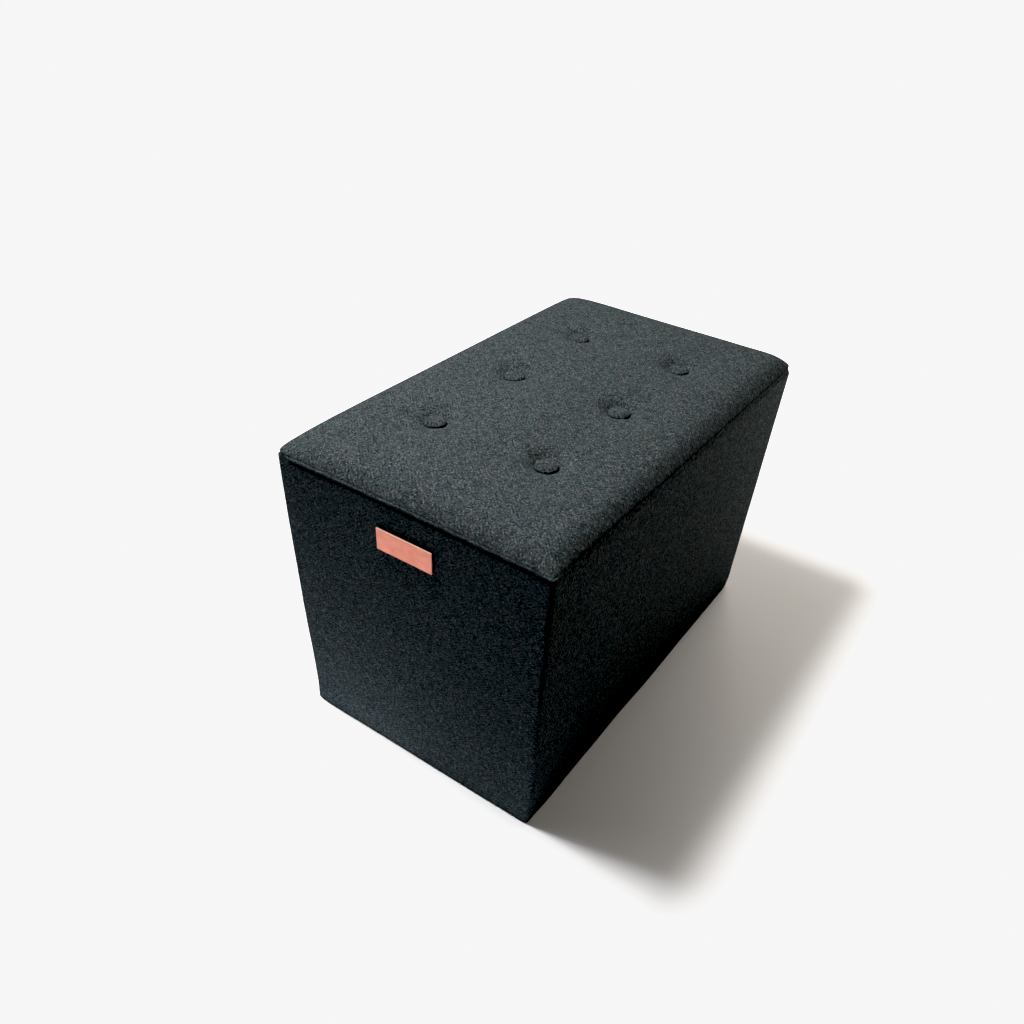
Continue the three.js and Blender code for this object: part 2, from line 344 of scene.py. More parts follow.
# Place on half a corner, as a share of the way along its straight part and then round its arc.
def corner_place(share, inset, half_side, half_other, near):
    radius = contour_radius(inset, near)
    straight = CORNER_ZONE - inset - radius
    way = share * (straight + radius * math.pi / 4)
    angle = np.clip(way - straight, 0, None) / radius
    on_arc = way > straight
    side = half_side - inset - radius + radius * np.cos(angle)
    round_other = half_other - inset - radius + radius * np.sin(angle)
    other = np.where(on_arc, round_other, half_other - CORNER_ZONE + way)
    return side, other


# Plan places of grid points, moved inward by an extra inset.
def plan_places(u, v, extra):
    from_x, from_y = PAD_HALF_X - np.abs(u), PAD_HALF_Y - np.abs(v)
    grid_inset = np.minimum(from_x, from_y)
    inset = grid_inset + extra
    on_side_x = from_x <= from_y
    x = np.abs(u) - np.where(on_side_x, extra, 0)
    y = np.abs(v) - np.where(on_side_x, 0, extra)
    in_corner = (from_x < CORNER_ZONE) & (from_y < CORNER_ZONE)
    share = (CORNER_ZONE - np.maximum(from_x, from_y)) / np.clip(CORNER_ZONE - grid_inset, TINY, None)
    near = (u > 0) & (v < 0)
    side_x, other_y = corner_place(share, inset, PAD_HALF_X, PAD_HALF_Y, near)
    side_y, other_x = corner_place(share, inset, PAD_HALF_Y, PAD_HALF_X, near)
    x = np.where(in_corner, np.where(on_side_x, side_x, other_x), x)
    y = np.where(in_corner, np.where(on_side_x, other_y, side_y), y)
    return np.sign(u) * x, np.sign(v) * y, inset


# How much further in the seam lies along the right side, fading out at its corners.
def right_recess(u, v):
    from_right, from_end = PAD_HALF_X - u, PAD_HALF_Y - np.abs(v)
    return RIGHT_RECESS * smooth_step(0, RECESS_FADE, from_end - from_right)


# The border of a grid, once round.
def outline_order(grid):
    return np.concatenate([grid[:-1, 0], grid[-1, :-1], grid[:0:-1, -1], grid[0, :0:-1]])


# Inset of the crease or the lip at places x, y along the outline.
def lip_inset(inset, x, y):
    along = (x + PAD_HALF_X) / (2 * PAD_HALF_X)
    from_corner = np.hypot(PAD_HALF_X - np.abs(x), PAD_HALF_Y - np.abs(y))
    bunch = BUNCH_PROUD * np.exp(-((from_corner / BUNCH_REACH) ** 2))
    tuck = np.where(y < 0, TUCK_DEPTH, BACK_TUCK) * np.exp(-((from_corner / TUCK_REACH) ** 2))
    near_corner = (x > 0) & (y < 0)
    outer = np.minimum(inset, 0)
    moved = np.where(near_corner, -bunch, tuck) * (outer < 0)
    return inset - outer * LIP_FADE * along + moved + right_recess(x, y)


def pad_mesh(step):
    across, along = pad_lines(PAD_HALF_X, step), pad_lines(PAD_HALF_Y, step)
    u, v = np.meshgrid(across, along, indexing="ij")
    from_edge = np.minimum(PAD_HALF_X - np.abs(u), PAD_HALF_Y - np.abs(v))
    to_edge = np.clip(1 - from_edge / ROLL_WIDTH, 0, None)
    _, _, inset = plan_places(u, v, np.zeros_like(u))
    x, y, _ = plan_places(u, v, ROLL_TUCK * to_edge)
    room = SWELL_ROOM * smooth_step(*FREE_INSET, inset)
    height = pulled_down(top_height(x, y, inset) - room, x, y)
    points = [np.stack([x, y, PAD_BOTTOM + height], -1).reshape(-1, 3)]
    top = np.arange(u.size).reshape(u.shape)
    edge_u, edge_v = outline_order(u), outline_order(v)
    rings = [outline_order(top)]
    count = u.size
    for ring_inset, level in [CREASE] + LIP_SECTION:
        extra = lip_inset(np.full_like(edge_u, ring_inset), edge_u, edge_v)
        ring_x, ring_y, _ = plan_places(edge_u, edge_v, extra)
        points.append(np.stack([ring_x, ring_y, np.full_like(ring_x, PAD_BOTTOM + level)], -1))
        rings.append(count + np.arange(len(ring_x)))
        count += len(ring_x)
    x, y, _ = plan_places(u, v, (LIP_INNER + right_recess(u, v)) * to_edge)
    points.append(np.stack([x, y, np.full_like(x, PAD_BOTTOM)], -1).reshape(-1, 3))
    bottom = count + top
    rings.append(outline_order(bottom))
    faces = [grid_quads(top), grid_quads(np.array(rings), close_columns=True), grid_quads(bottom)[:, ::-1]]
    points = np.vstack(points)
    shift_x, shift_y = seam_bow(points[:, 0], points[:, 1])
    points[:, 0] += shift_x
    points[:, 1] += shift_y
    return points, np.vstack(faces)


# How firmly each point of the pad is held, from 0 to 1: at the buttons, the seam and the board below.
def held_share(points):
    low = 1 - smooth_step(PAD_BOTTOM + CREASE[1], PAD_BOTTOM + FREE_HEIGHT, points[:, 2])
    return np.maximum(low, 1 - smooth_step(SEAT_LIP, SEAT_LIP + PAD_STEP, from_button(points)))


def from_button(points):
    return np.min([np.hypot(points[:, 0] - x, points[:, 1] - y) for x, y in button_middles()], axis=0)


# Cloth simulation: the pad swells under pressure, held at its seam and buttons, no point further than a cap.
def swell(piece):
    start = read_points(piece)
    held = piece.vertex_groups.new(name="held")
    for index, share in enumerate(held_share(start)):
        if share > 0:
            held.add([index], float(share), "REPLACE")
    cloth = piece.modifiers.new("swelling cloth", "CLOTH")
    settings = cloth.settings
    settings.quality = CLOTH_QUALITY
    settings.mass = CLOTH_MASS
    settings.use_pressure = True
    settings.uniform_pressure_force = SWELL_PRESSURE
    settings.effector_weights.gravity = 0
    settings.vertex_group_mass = held.name
    settings.bending_stiffness = CLOTH_BENDING
    settings.tension_stiffness = CLOTH_TENSION
    for frame_number in range(1, SWELL_FRAMES + 1):
        bpy.context.scene.frame_set(frame_number)
    swollen = piece.evaluated_get(bpy.context.evaluated_depsgraph_get())
    moved = np.zeros(start.size)
    swollen.data.vertices.foreach_get("co", moved)
    offset = moved.reshape(-1, 3) - start
    edge = np.minimum(PAD_HALF_X - np.abs(start[:, 0]), PAD_HALF_Y - np.abs(start[:, 1]))
    offset *= (smooth_step(*FREE_INSET, edge) * smooth_step(*FREE_FROM_BUTTON, from_button(start)))[:, None]
    length = np.linalg.norm(offset, axis=1, keepdims=True)
    piece.modifiers.remove(cloth)
    piece.vertex_groups.clear()
    bpy.context.scene.frame_set(1)
    write_points(piece, start + offset * np.minimum(1, SWELL_CAP / np.maximum(length, TINY)))


def subdivide(piece):
    piece.modifiers.new("finer", "SUBSURF").levels = 1
    finer = piece.evaluated_get(bpy.context.evaluated_depsgraph_get())
    mesh = bpy.data.meshes.new_from_object(finer)
    piece.modifiers.clear()
    piece.data = mesh
    mesh.shade_smooth()


# Points crowd round each button's rim, where the cloth turns down under it
SEAT_ZONE = 13 * MM
SEAT_CROWDING = 0.62
SEAT_BLEND = (28 * MM, 50 * MM)

# Points higher than this belong to the pad's top
TOP_BEGINS = SEAT_FLOOR - 3 * MM


# After the simulation the cloth round each button gets its true shape again, with a seat for the button.
def shape_seats(points):
    on_top = points[:, 2] > PAD_BOTTOM + TOP_BEGINS
    for middle_x, middle_y in button_middles():
        away = points[:, :2] - (middle_x, middle_y)
        radius = np.hypot(away[:, 0], away[:, 1])
        near = on_top & (radius < SEAT_LIP + SEAT_ZONE)
        phase = np.clip((radius - SEAT_LIP) / SEAT_ZONE, -1, 1)
        crowded = radius - SEAT_CROWDING * SEAT_ZONE / math.pi * np.sin(phase * math.pi)
        scale = np.where(near, crowded / np.maximum(radius, TINY), 1)
        points[:, :2] = (middle_x, middle_y) + away * scale[:, None]
    x, y = points[:, 0], points[:, 1]
    away = from_button(points)
    inset = np.minimum(PAD_HALF_X - np.abs(x), PAD_HALF_Y - np.abs(y))
    shaped = PAD_BOTTOM + pulled_down(top_height(x, y, inset), x, y)
    sunk = 1 - smooth_step(SEAT_RADIUS, SEAT_LIP, away)
    shaped += sunk * (PAD_BOTTOM + SEAT_FLOOR - shaped)
    share = np.where(on_top, 1 - smooth_step(*SEAT_BLEND, away), 0)
    points[:, 2] += share * (shaped - points[:, 2])
    return points


# The box cover: one closed skin over the four walls

# Steps and rows of its mesh, and the rows' insets under the wall
OUTLINE_STEP = 6 * MM
CORNER_STEPS = 8
ROUNDING_STEPS = 7
FACE_ROWS = 58
RIM_ROWS = 12
INSIDE_ROWS = 40
UNDER_INSETS = (4 * MM, 8 * MM)
RIM_ZONE = 10 * MM

# Its roundings: the upright corners, the foot, the rim and the corners inside
COVER_CORNER = 4.5 * MM
COVER_FOOT = 2.5 * MM
COVER_RIM = 2.5 * MM
INNER_CORNER = 1.5 * MM

# Relief lies in the outer skin, and each face's share of it fades round the corners
SKIN_DEPTH = 12 * MM
CORNER_SHARE = 9 * MM
FACE_DIRECTIONS = {"right": (1, 0), "left": (-1, 0), "back": (0, 1), "front": (0, -1)}

# Behind the lid's lip the cover's rim is drawn in
RIM_DRAWN_IN = 1.8 * MM
RIM_SHOULDER = (2.0 * MM, 7.5 * MM)
RIM_CORNER = 40 * MM
SEAM_BOW_REACH = 90 * MM

# Soft unevenness of the cover in millimetres: face, place along it, height, reach along and up, push outward
COVER_PUSHES = [
    ("left", -300, 330, 120, 80, 1.4),
    ("left", -300, 40, 70, 105, -6.3),
    ("left", -300, 0, 14, 16, 1.6),
    ("front", -178, 0, 12, 9, -0.8),
    ("front", 60, 190, 90, 110, 0.8),
    ("front", -178, 200, 17, 500, -1.6),
    ("right", -300, 0, 45, 45, -1.9),
    ("right", -195, 0, 50, 45, -1.2),
    ("right", -85, 0, 60, 45, -1.7),
    ("right", 300, 330, 110, 130, 0.8),
    ("right", 300, 0, 12, 12, -2.0),
    ("right", 20, 200, 170, 110, 0.9),
    ("back", 0, 180, 110, 110, 0.8),
    ("left", 40, 190, 170, 110, 0.9),
]

# Waves in the cover: length in metres, height, seed
COVER_WAVES = [(0.16, 0.5 * MM, 3), (0.045, 0.22 * MM, 8)]


# Closed outline of a rounded rectangle as points, with the same count for any size.
def rounded_outline(half_x, half_y, radius):
    points = []
    counts = [2 * round(half / OUTLINE_STEP) for half in (HALF_WIDTH, HALF_LENGTH)]
    corners = [(1, 1, 0), (-1, 1, 1), (-1, -1, 2), (1, -1, 3)]
    for k, (sign_x, sign_y, quarter) in enumerate(corners):
        middle = np.array([sign_x * (half_x - radius), sign_y * (half_y - radius)])
        for angle in (quarter + np.linspace(0, 1, CORNER_STEPS + 1)) * math.pi / 2:
            points.append(middle + radius * np.array([math.cos(angle), math.sin(angle)]))
        next_x, next_y, next_quarter = corners[(k + 1) % 4]
        start = points[-1]
        turn = next_quarter * math.pi / 2
        middle = np.array([next_x * (half_x - radius), next_y * (half_y - radius)])
        end = middle + radius * np.array([math.cos(turn), math.sin(turn)])
        count = counts[quarter % 2]
        for t in np.arange(1, count) / count:
            points.append(start * (1 - t) + end * t)
    return np.array(points)


# Section through a wall as rows of inset and height, from the foot up the face, over the rim and down inside.
def wall_section():
    quarter = np.linspace(0, math.pi / 2, ROUNDING_STEPS)
    foot = [(COVER_FOOT * (1 - math.sin(a)), COVER_FOOT * (1 - math.cos(a))) for a in quarter]
    face = [(0.0, z) for z in np.linspace(COVER_FOOT, BOX_HEIGHT - RIM_ZONE, FACE_ROWS)[1:]]
    face += [(0.0, z) for z in np.linspace(BOX_HEIGHT - RIM_ZONE, BOX_HEIGHT - COVER_RIM, RIM_ROWS)[1:-1]]
    rim = [(COVER_RIM * (1 - math.cos(a)), BOX_HEIGHT - COVER_RIM * (1 - math.sin(a))) for a in quarter]
    inner_rim = [(WALL_THICKNESS - inset, z) for inset, z in reversed(rim)]
    inside = [(WALL_THICKNESS, z) for z in np.linspace(BOX_HEIGHT - COVER_RIM, 0, INSIDE_ROWS)[1:]]
    under = [(WALL_THICKNESS - inset, 0.0) for inset in UNDER_INSETS]
    return foot + face + rim + inner_rim + inside + under


# How far the cover stands out of its true face: pushes by hand, soft waves and the drawn-in rim.
def stands_out(face, along, points, seed):
    z = points[..., 2]
    out = np.zeros_like(z)
    for name, place, height, reach_along, reach_up, amount in COVER_PUSHES:
        if name == face:
            apart = ((along / MM - place) / reach_along) ** 2 + ((z / MM - height) / reach_up) ** 2
            out += amount * MM * np.exp(-apart)
    flat = points.reshape(-1, 3)
    for scale, amount, wave_seed in COVER_WAVES:
        out += amount * soft_noise(flat, scale, wave_seed + seed).reshape(z.shape)
    x, y = points[..., 0], points[..., 1]
    from_corner = np.hypot(HALF_WIDTH - np.abs(x), HALF_LENGTH - np.abs(y))
    drawn_in = np.where((x < 0) & (y < 0), smooth_step(0, RIM_CORNER, from_corner), 1)
    return out - RIM_DRAWN_IN * drawn_in * (1 - smooth_step(*RIM_SHOULDER, BOX_HEIGHT - z))


# Gives each outer face its relief, and lets the rim follow the bows of the lid's seam.
def cover_relief(rows, insets):
    x, y = rows[..., 0].copy(), rows[..., 1].copy()
    skin = 1 - smooth_step(COVER_FOOT, SKIN_DEPTH, insets)
    for seed, (face, (toward_x, toward_y)) in enumerate(FACE_DIRECTIONS.items()):
        half, along = (HALF_WIDTH, y) if toward_x else (HALF_LENGTH, x)
        depth = np.clip(half - (toward_x * x + toward_y * y) - insets, 0, None)
        share = np.exp(-((depth / CORNER_SHARE) ** 2)) * skin
        out = stands_out(face, along, rows, seed) * share
        rows[..., 0] += toward_x * out
        rows[..., 1] += toward_y * out
    shift_x, shift_y = seam_bow(x, y)
    near_seam = skin * np.exp(-(((BOX_HEIGHT - rows[..., 2]) / SEAM_BOW_REACH) ** 2))
    rows[..., 0] += shift_x * near_seam
    rows[..., 1] += shift_y * near_seam
    return rows


def box_cover():
    rows, insets = [], []
    for inset, z in wall_section():
        radius = max(COVER_CORNER - inset, INNER_CORNER)
        outline = rounded_outline(HALF_WIDTH - inset, HALF_LENGTH - inset, radius)
        rows.append(np.column_stack([outline, np.full(len(outline), z)]))
        insets.append(np.full(len(outline), inset))
    rows = cover_relief(np.array(rows), np.array(insets))
    indices = np.arange(rows.shape[0] * rows.shape[1]).reshape(rows.shape[:2])
    cover = new_piece("box_cover", rows.reshape(-1, 3), grid_quads(indices, True, True)[:, ::-1])
    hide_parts("front_wall", "back_wall", "left_wall", "right_wall")
    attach(cover, "bench_box")
    return cover


def lid_pad():
    points, faces = pad_mesh(PAD_STEP)
    pad = new_piece("lid_cushion", points, faces)
    swell(pad)
    subdivide(pad)
    write_points(pad, shape_seats(read_points(pad)))
    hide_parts("lid_pad")
    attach(pad, "lid")
    return pad


# Covered buttons: a low dome whose cloth turns under a rim

BUTTON_SIDES = 64
BUTTON_RADIUS = 13.3 * MM
BUTTON_BACK = 11.4 * MM
BUTTON_SIDE = 2.1 * MM
BUTTON_HEIGHT = 6.6 * MM
BUTTON_FLATNESS = 2.5
DOME_STEPS = 15

# Where the cloth turns under the rim: inset from the rim, height over the button's back
BUTTON_UNDER = [(0.8 * MM, 0.5 * MM), (0.1 * MM, 1.2 * MM)]


def covered_button(node):
    low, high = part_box(node)
    middle = (low + high) / 2
    profile = [(BUTTON_BACK, 0.0)] + [(BUTTON_RADIUS - inset, z) for inset, z in BUTTON_UNDER]
    for angle in np.linspace(0, math.pi / 2, DOME_STEPS)[:-1]:
        rise = math.sin(angle) ** (2 / BUTTON_FLATNESS)
        reach = math.cos(angle) ** (2 / BUTTON_FLATNESS)
        profile.append((BUTTON_RADIUS * reach, BUTTON_SIDE + (BUTTON_HEIGHT - BUTTON_SIDE) * rise))
    points, rings = [], []
    turn = np.arange(BUTTON_SIDES) / BUTTON_SIDES * 2 * math.pi
    for r, z in profile:
        rings.append(len(points) + np.arange(BUTTON_SIDES))
        points += [(middle.x + r * math.cos(a), middle.y + r * math.sin(a), low.z + z) for a in turn]
    bottom, top = len(points), len(points) + 1
    points += [(middle.x, middle.y, low.z), (middle.x, middle.y, low.z + BUTTON_HEIGHT)]
    faces = [tuple(q) for q in grid_quads(np.array(rings), close_columns=True)[:, ::-1]]
    for k in range(BUTTON_SIDES):
        following = (k + 1) % BUTTON_SIDES
        faces.append((rings[0][following], rings[0][k], bottom))
        faces.append((rings[-1][k], rings[-1][following], top))
    piece = new_piece(f"covered_{node}", points, faces)
    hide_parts(node)
    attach(piece, "lid")
    return piece


# The metal plate: a bevelled sheet that is not quite flat

PLATE_CORNER = 0.9 * MM
PLATE_BEVEL = 0.7 * MM
PLATE_BOW = 0.35 * MM
PLATE_CELLS = (48, 16)

# The bow is a long wave (share, turn across, start) and a short one (share, turn across, turn up)
LONG_WAVE = (0.6, 2.3, 0.6)
SHORT_WAVE = (0.4, 4.0, 1.5)


def plate_bow(across, up):
    share, turn, start = LONG_WAVE
    long = np.sin(across * turn + start) * share
    share, turn, turn_up = SHORT_WAVE
    return PLATE_BOW * (long + np.cos(up * turn_up) * np.cos(across * turn) * share)


# Square grid places, drawn in at the corners so that the rim is a rounded rectangle.
def rounded_plan(half_x, half_z, radius, across, up):
    corner_x, corner_z = half_x - radius, half_z - radius
    x, z = across * half_x, up * half_z
    over_x, over_z = np.clip(np.abs(x) - corner_x, 0, None), np.clip(np.abs(z) - corner_z, 0, None)
    square = np.maximum(over_x, over_z)
    scale = np.where(square > 0, square / np.maximum(np.hypot(over_x, over_z), TINY), 1)
    x = np.sign(x) * (np.minimum(np.abs(x), corner_x) + over_x * scale)
    z = np.sign(z) * (np.minimum(np.abs(z), corner_z) + over_z * scale)
    return x, z


def metal_plate():
    middle = (PLATE_LOW + PLATE_HIGH) / 2
    half_x, half_z = (PLATE_HIGH.x - PLATE_LOW.x) / 2, (PLATE_HIGH.z - PLATE_LOW.z) / 2
    depth = PLATE_HIGH.y - PLATE_LOW.y
    steps_across, steps_up = (np.sin(np.linspace(-1, 1, count + 1) * math.pi / 2) for count in PLATE_CELLS)
    across, up = np.meshgrid(steps_across, steps_up, indexing="ij")
    points, rings, count = [], [], 0
    grid = np.arange(across.size).reshape(across.shape)
    bow, flat = plate_bow(across, up), np.zeros_like(up)
    front, rim, back = (PLATE_BEVEL, 0.0, bow), (0.0, PLATE_BEVEL, bow), (0.0, depth, flat)
    for section in (front, rim, back):
        inset, behind, bend = section
        x, z = rounded_plan(half_x - inset, half_z - inset, PLATE_CORNER - inset, across, up)
        layer = np.stack([middle.x + x, PLATE_LOW.y + behind + bend, middle.z + z], -1).reshape(-1, 3)
        if section is rim:
            layer = layer[outline_order(grid)]
            rings.append(count + np.arange(len(layer)))
        else:
            rings.append(count + outline_order(grid))
        points.append(layer)
        count += len(layer)
    edge = grid_quads(np.array(rings), close_columns=True)
    faces = [grid_quads(grid), edge, grid_quads(grid + count - across.size)[:, ::-1]]
    plate = new_piece("metal_plate", np.vstack(points), np.vstack(faces))
    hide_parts("end_plate")
    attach(plate, "bench_box")
    return plate


# Shader helpers

def group_socket(group, name, kind, default=None, output=False):
    way = "OUTPUT" if output else "INPUT"
    socket = group.interface.new_socket(name, in_out=way, socket_type=f"NodeSocket{kind}")
    if default is not None:
        socket.default_value = default


class Graph:
    """Short calls for placing and linking nodes in one node tree."""

    def __init__(self, tree):
        self.tree = tree

    def node(self, kind, **settings):
        node = self.tree.nodes.new(f"ShaderNode{kind}")
        for name, value in settings.items():
            setattr(node, name, value)
        return node

    # Inputs by name, with _ for a space, or by number as i0, i1 and so on.
    def feed(self, node, **inputs):
        for name, value in inputs.items():
            key = int(name[1:]) if name[0] == "i" and name[1:].isdigit() else name.replace("_", " ")
            self.put(node.inputs[key], value)
        return node

    def put(self, socket, value):
        if isinstance(value, bpy.types.NodeSocket):
            self.tree.links.new(value, socket)
        else:
            socket.default_value = value

    def math(self, operation, a, b=0.0, clamp=False):
        return self.feed(self.node("Math", operation=operation, use_clamp=clamp), i0=a, i1=b).outputs[0]

    def vector(self, operation, a, b=(0, 0, 0)):
        return self.feed(self.node("VectorMath", operation=operation), i0=a, i1=b).outputs[0]

    def split(self, vector):
        return self.feed(self.node("SeparateXYZ"), i0=vector).outputs

    def join(self, x, y, z):
        return self.feed(self.node("CombineXYZ"), i0=x, i1=y, i2=z).outputs[0]

    # The node keeps its inputs and outputs for numbers and for colours at different places.
    def mix(self, factor, a, b, kind="RGBA", blend="MIX"):
        node = self.node("Mix", data_type=kind, blend_type=blend)
        first, output = {"FLOAT": (2, 0), "RGBA": (6, 2)}[kind]
        self.put(node.inputs[0], factor)
        self.put(node.inputs[first], a)
        self.put(node.inputs[first + 1], b)
        return node.outputs[output]

    def noise(self, vector, scale, detail=2.0, roughness=0.5):
        node = self.node("TexNoise")
        self.feed(node, Vector=vector, Scale=scale, Detail=detail, Roughness=roughness)
        return node.outputs["Fac"]

    def white(self, vector):
        return self.feed(self.node("TexWhiteNoise", noise_dimensions="3D"), Vector=vector)

    def remap(self, value, from_low, from_high, to_low=0.0, to_high=1.0):
        node = self.node("MapRange")
        return self.feed(node, i0=value, i1=from_low, i2=from_high, i3=to_low, i4=to_high).outputs[0]

    # Adds two values, each times its share.
    def weighted(self, *pairs):
        parts = [self.math("MULTIPLY", value, share) for value, share in pairs]
        return self.math("ADD", *parts)


def new_group(name, inputs, outputs):
    tree = bpy.data.node_groups.new(name, "ShaderNodeTree")
    for socket in inputs:
        group_socket(tree, *socket)
    for socket in outputs:
        group_socket(tree, *socket, output=True)
    given = tree.nodes.new("NodeGroupInput").outputs
    put = tree.nodes.new("NodeGroupOutput").inputs
    return tree, Graph(tree), given, put


# The weave of the cloth. Here and below, a noise is given by its scale, detail and roughness.

YARN_WIDTH = 1.1 * MM

# How wide a yarn shows across and up, against its true width, on the ends and on the long sides
END_YARNS = (1.25, 0.9)
SIDE_YARNS = (0.8, 1.5)


# Cloth lies flat on the face that a normal points out of: yarns counted across and up it, and its number.
# On the ends the yarns are coarser across, on the long sides coarser upward.
def build_cloth_plane():
    tree, g, given, put = new_group(
        "cloth plane", [("Place", "Vector"), ("Normal", "Vector"), ("Yarn width", "Float", YARN_WIDTH)],
        [("Across", "Float"), ("Up", "Float"), ("Plane", "Float")])
    x, y, z = g.split(given["Place"])
    normal_x, normal_y, normal_z = g.split(g.vector("ABSOLUTE", given["Normal"]))
    on_top = g.math("GREATER_THAN", normal_z, g.math("MAXIMUM", normal_x, normal_y))
    on_side = g.math("GREATER_THAN", normal_x, normal_y)
    across = g.mix(on_top, g.mix(on_side, x, y, "FLOAT"), x, "FLOAT")
    up = g.mix(on_top, z, y, "FLOAT")
    plane = g.mix(on_top, g.math("ADD", on_side, 1.0), 3.0, "FLOAT")
    wider = g.mix(on_top, g.mix(on_side, END_YARNS[0], SIDE_YARNS[0], "FLOAT"), 1.0, "FLOAT")
    taller = g.mix(on_top, g.mix(on_side, END_YARNS[1], SIDE_YARNS[1], "FLOAT"), 1.0, "FLOAT")
    yarn = given["Yarn width"]
    g.put(put["Across"], g.math("DIVIDE", across, g.math("MULTIPLY", yarn, wider)))
    g.put(put["Up"], g.math("DIVIDE", up, g.math("MULTIPLY", yarn, taller)))
    g.put(put["Plane"], plane)
    return tree


# Colours of the yarns, and how much the weave lightens and darkens them
DARK_YARN = (0.0095, 0.0115, 0.0125, 1)
LIGHT_YARN = (0.061, 0.0725, 0.076, 1)
FLECK = (0.100, 0.114, 0.116, 1)
FLECK_SHARE = 0.04
COOL_CAST = (0.945, 1.01, 1.035, 1)
WARM_CAST = (1.035, 1.0, 0.96, 1)
TWILL_CONTRAST = 0.2
TINT_SHARE = 0.07

# The yarns wander and change their lean from patch to patch, and pass over two yarns in four
WOBBLE_SCALE = 60.0
WOBBLE_WIDTH = 1.2
LEAN_SCALE = 70.0
TWILL_REPEAT = 4.0
TWILL_OVER = 2.0
FLOAT_LENGTH = 2.0

# A yarn's brightness: its own shade and a mottle, then a floor taken off and a curve.
# Cool and warm casts lie over the cloth in patches.
SHADE_SHARE = 0.72
MOTTLE_SHARE = 0.45
MOTTLE_NOISE = (140.0, 3.0, 0.6)
SHADE_FLOOR = 0.06
SHADE_CURVE = 1.35
CAST_NOISE = (75.0, 1.0)
CAST_RANGE = (0.35, 0.65)

# Its height: round yarns with fine fibres on them
YARN_HEIGHT_SHARE = 0.7
FIBRE_HEIGHT_SHARE = 0.3
FIBRE_NOISE = (2600.0, 2.0)

# Added to the face's number, so that warp, weft and flecks draw different random numbers
WEFT_SEED = 10.0
FLECK_SEED = 20.0


# Twill of uneven yarns: each yarn has its own shade, which changes along it, and bright flecks lie in it.
def build_heathered_twill(cloth_plane):
    tree, g, given, put = new_group(
        "heathered twill",
        [("Place", "Vector"), ("Normal", "Vector"), ("Yarn width", "Float", YARN_WIDTH),
         ("Twill contrast", "Float", TWILL_CONTRAST), ("Cool cast", "Color", COOL_CAST),
         ("Warm cast", "Color", WARM_CAST), ("Dark", "Color", DARK_YARN), ("Light", "Color", LIGHT_YARN),
         ("Fleck", "Color", FLECK), ("Fleck share", "Float", FLECK_SHARE)],
        [("Color", "Color"), ("Height", "Float")])
    plane = g.node("Group")
    plane.node_tree = cloth_plane
    g.feed(plane, Place=given["Place"], Normal=given["Normal"], Yarn_width=given["Yarn width"])
    wobble = g.math("SUBTRACT", g.noise(given["Place"], WOBBLE_SCALE), 0.5)
    wobble = g.math("MULTIPLY", wobble, WOBBLE_WIDTH)
    u = g.math("ADD", plane.outputs["Across"], wobble)
    v = g.math("SUBTRACT", plane.outputs["Up"], wobble)
    warp, weft = g.math("FLOOR", u), g.math("FLOOR", v)
    leaning = g.math("GREATER_THAN", g.noise(given["Place"], LEAN_SCALE), 0.5)
    lean = g.mix(leaning, g.math("SUBTRACT", warp, weft), g.math("ADD", warp, weft), "FLOAT")
    over = g.math("LESS_THAN", g.math("FLOORED_MODULO", lean, TWILL_REPEAT), TWILL_OVER)
    face = plane.outputs["Plane"]
    length_v = g.math("FLOOR", g.math("DIVIDE", g.math("ADD", v, warp), FLOAT_LENGTH))
    length_u = g.math("FLOOR", g.math("DIVIDE", g.math("ADD", u, weft), FLOAT_LENGTH))
    warp_float = g.white(g.join(warp, length_v, face))
    weft_float = g.white(g.join(length_u, weft, g.math("ADD", face, WEFT_SEED)))
    shade = g.mix(over, weft_float.outputs["Value"], warp_float.outputs["Value"], "FLOAT")
    tint = g.mix(over, weft_float.outputs["Color"], warp_float.outputs["Color"])
    mottle = g.noise(given["Place"], *MOTTLE_NOISE)
    depth = g.weighted((shade, SHADE_SHARE), (mottle, MOTTLE_SHARE))
    depth = g.math("ADD", depth, g.math("MULTIPLY", g.math("SUBTRACT", over, 0.5), given["Twill contrast"]))
    depth = g.math("POWER", g.math("SUBTRACT", depth, SHADE_FLOOR, clamp=True), SHADE_CURVE)
    cloth = g.mix(depth, given["Dark"], given["Light"])
    cloth = g.mix(TINT_SHARE, cloth, tint, blend="SOFT_LIGHT")
    cast = g.remap(g.noise(given["Place"], *CAST_NOISE), *CAST_RANGE)
    cloth = g.mix(1.0, cloth, g.mix(cast, given["Cool cast"], given["Warm cast"]), blend="MULTIPLY")
    chance = g.white(g.join(warp, weft, g.math("ADD", face, FLECK_SEED))).outputs["Value"]
    flecked = g.math("LESS_THAN", chance, given["Fleck share"])
    g.put(put["Color"], g.mix(flecked, cloth, given["Fleck"]))
    from_warp = g.math("SUBTRACT", g.math("FRACT", u), 0.5)
    from_weft = g.math("SUBTRACT", g.math("FRACT", v), 0.5)
    off = g.mix(over, from_weft, from_warp, "FLOAT")
    round_yarn = g.math("SUBTRACT", 1.0, g.math("MULTIPLY", g.math("MULTIPLY", off, off), 4.0))
    fibre = g.noise(given["Place"], *FIBRE_NOISE)
    g.put(put["Height"], g.weighted((round_yarn, YARN_HEIGHT_SHARE), (fibre, FIBRE_HEIGHT_SHARE)))
    return tree


def new_material(name):
    material = bpy.data.materials.new(name)
    material.use_nodes = True
    material.node_tree.nodes.clear()
    g = Graph(material.node_tree)
    output = g.node("OutputMaterial")
    shader = g.node("BsdfPrincipled")
    g.put(output.inputs["Surface"], shader.outputs[0])
    return material, g, shader


def add_bump(g, shader, height, strength, distance):
    bump = g.feed(g.node("Bump"), Strength=strength, Distance=distance, Height=height)
    g.put(shader.inputs["Normal"], bump.outputs["Normal"])


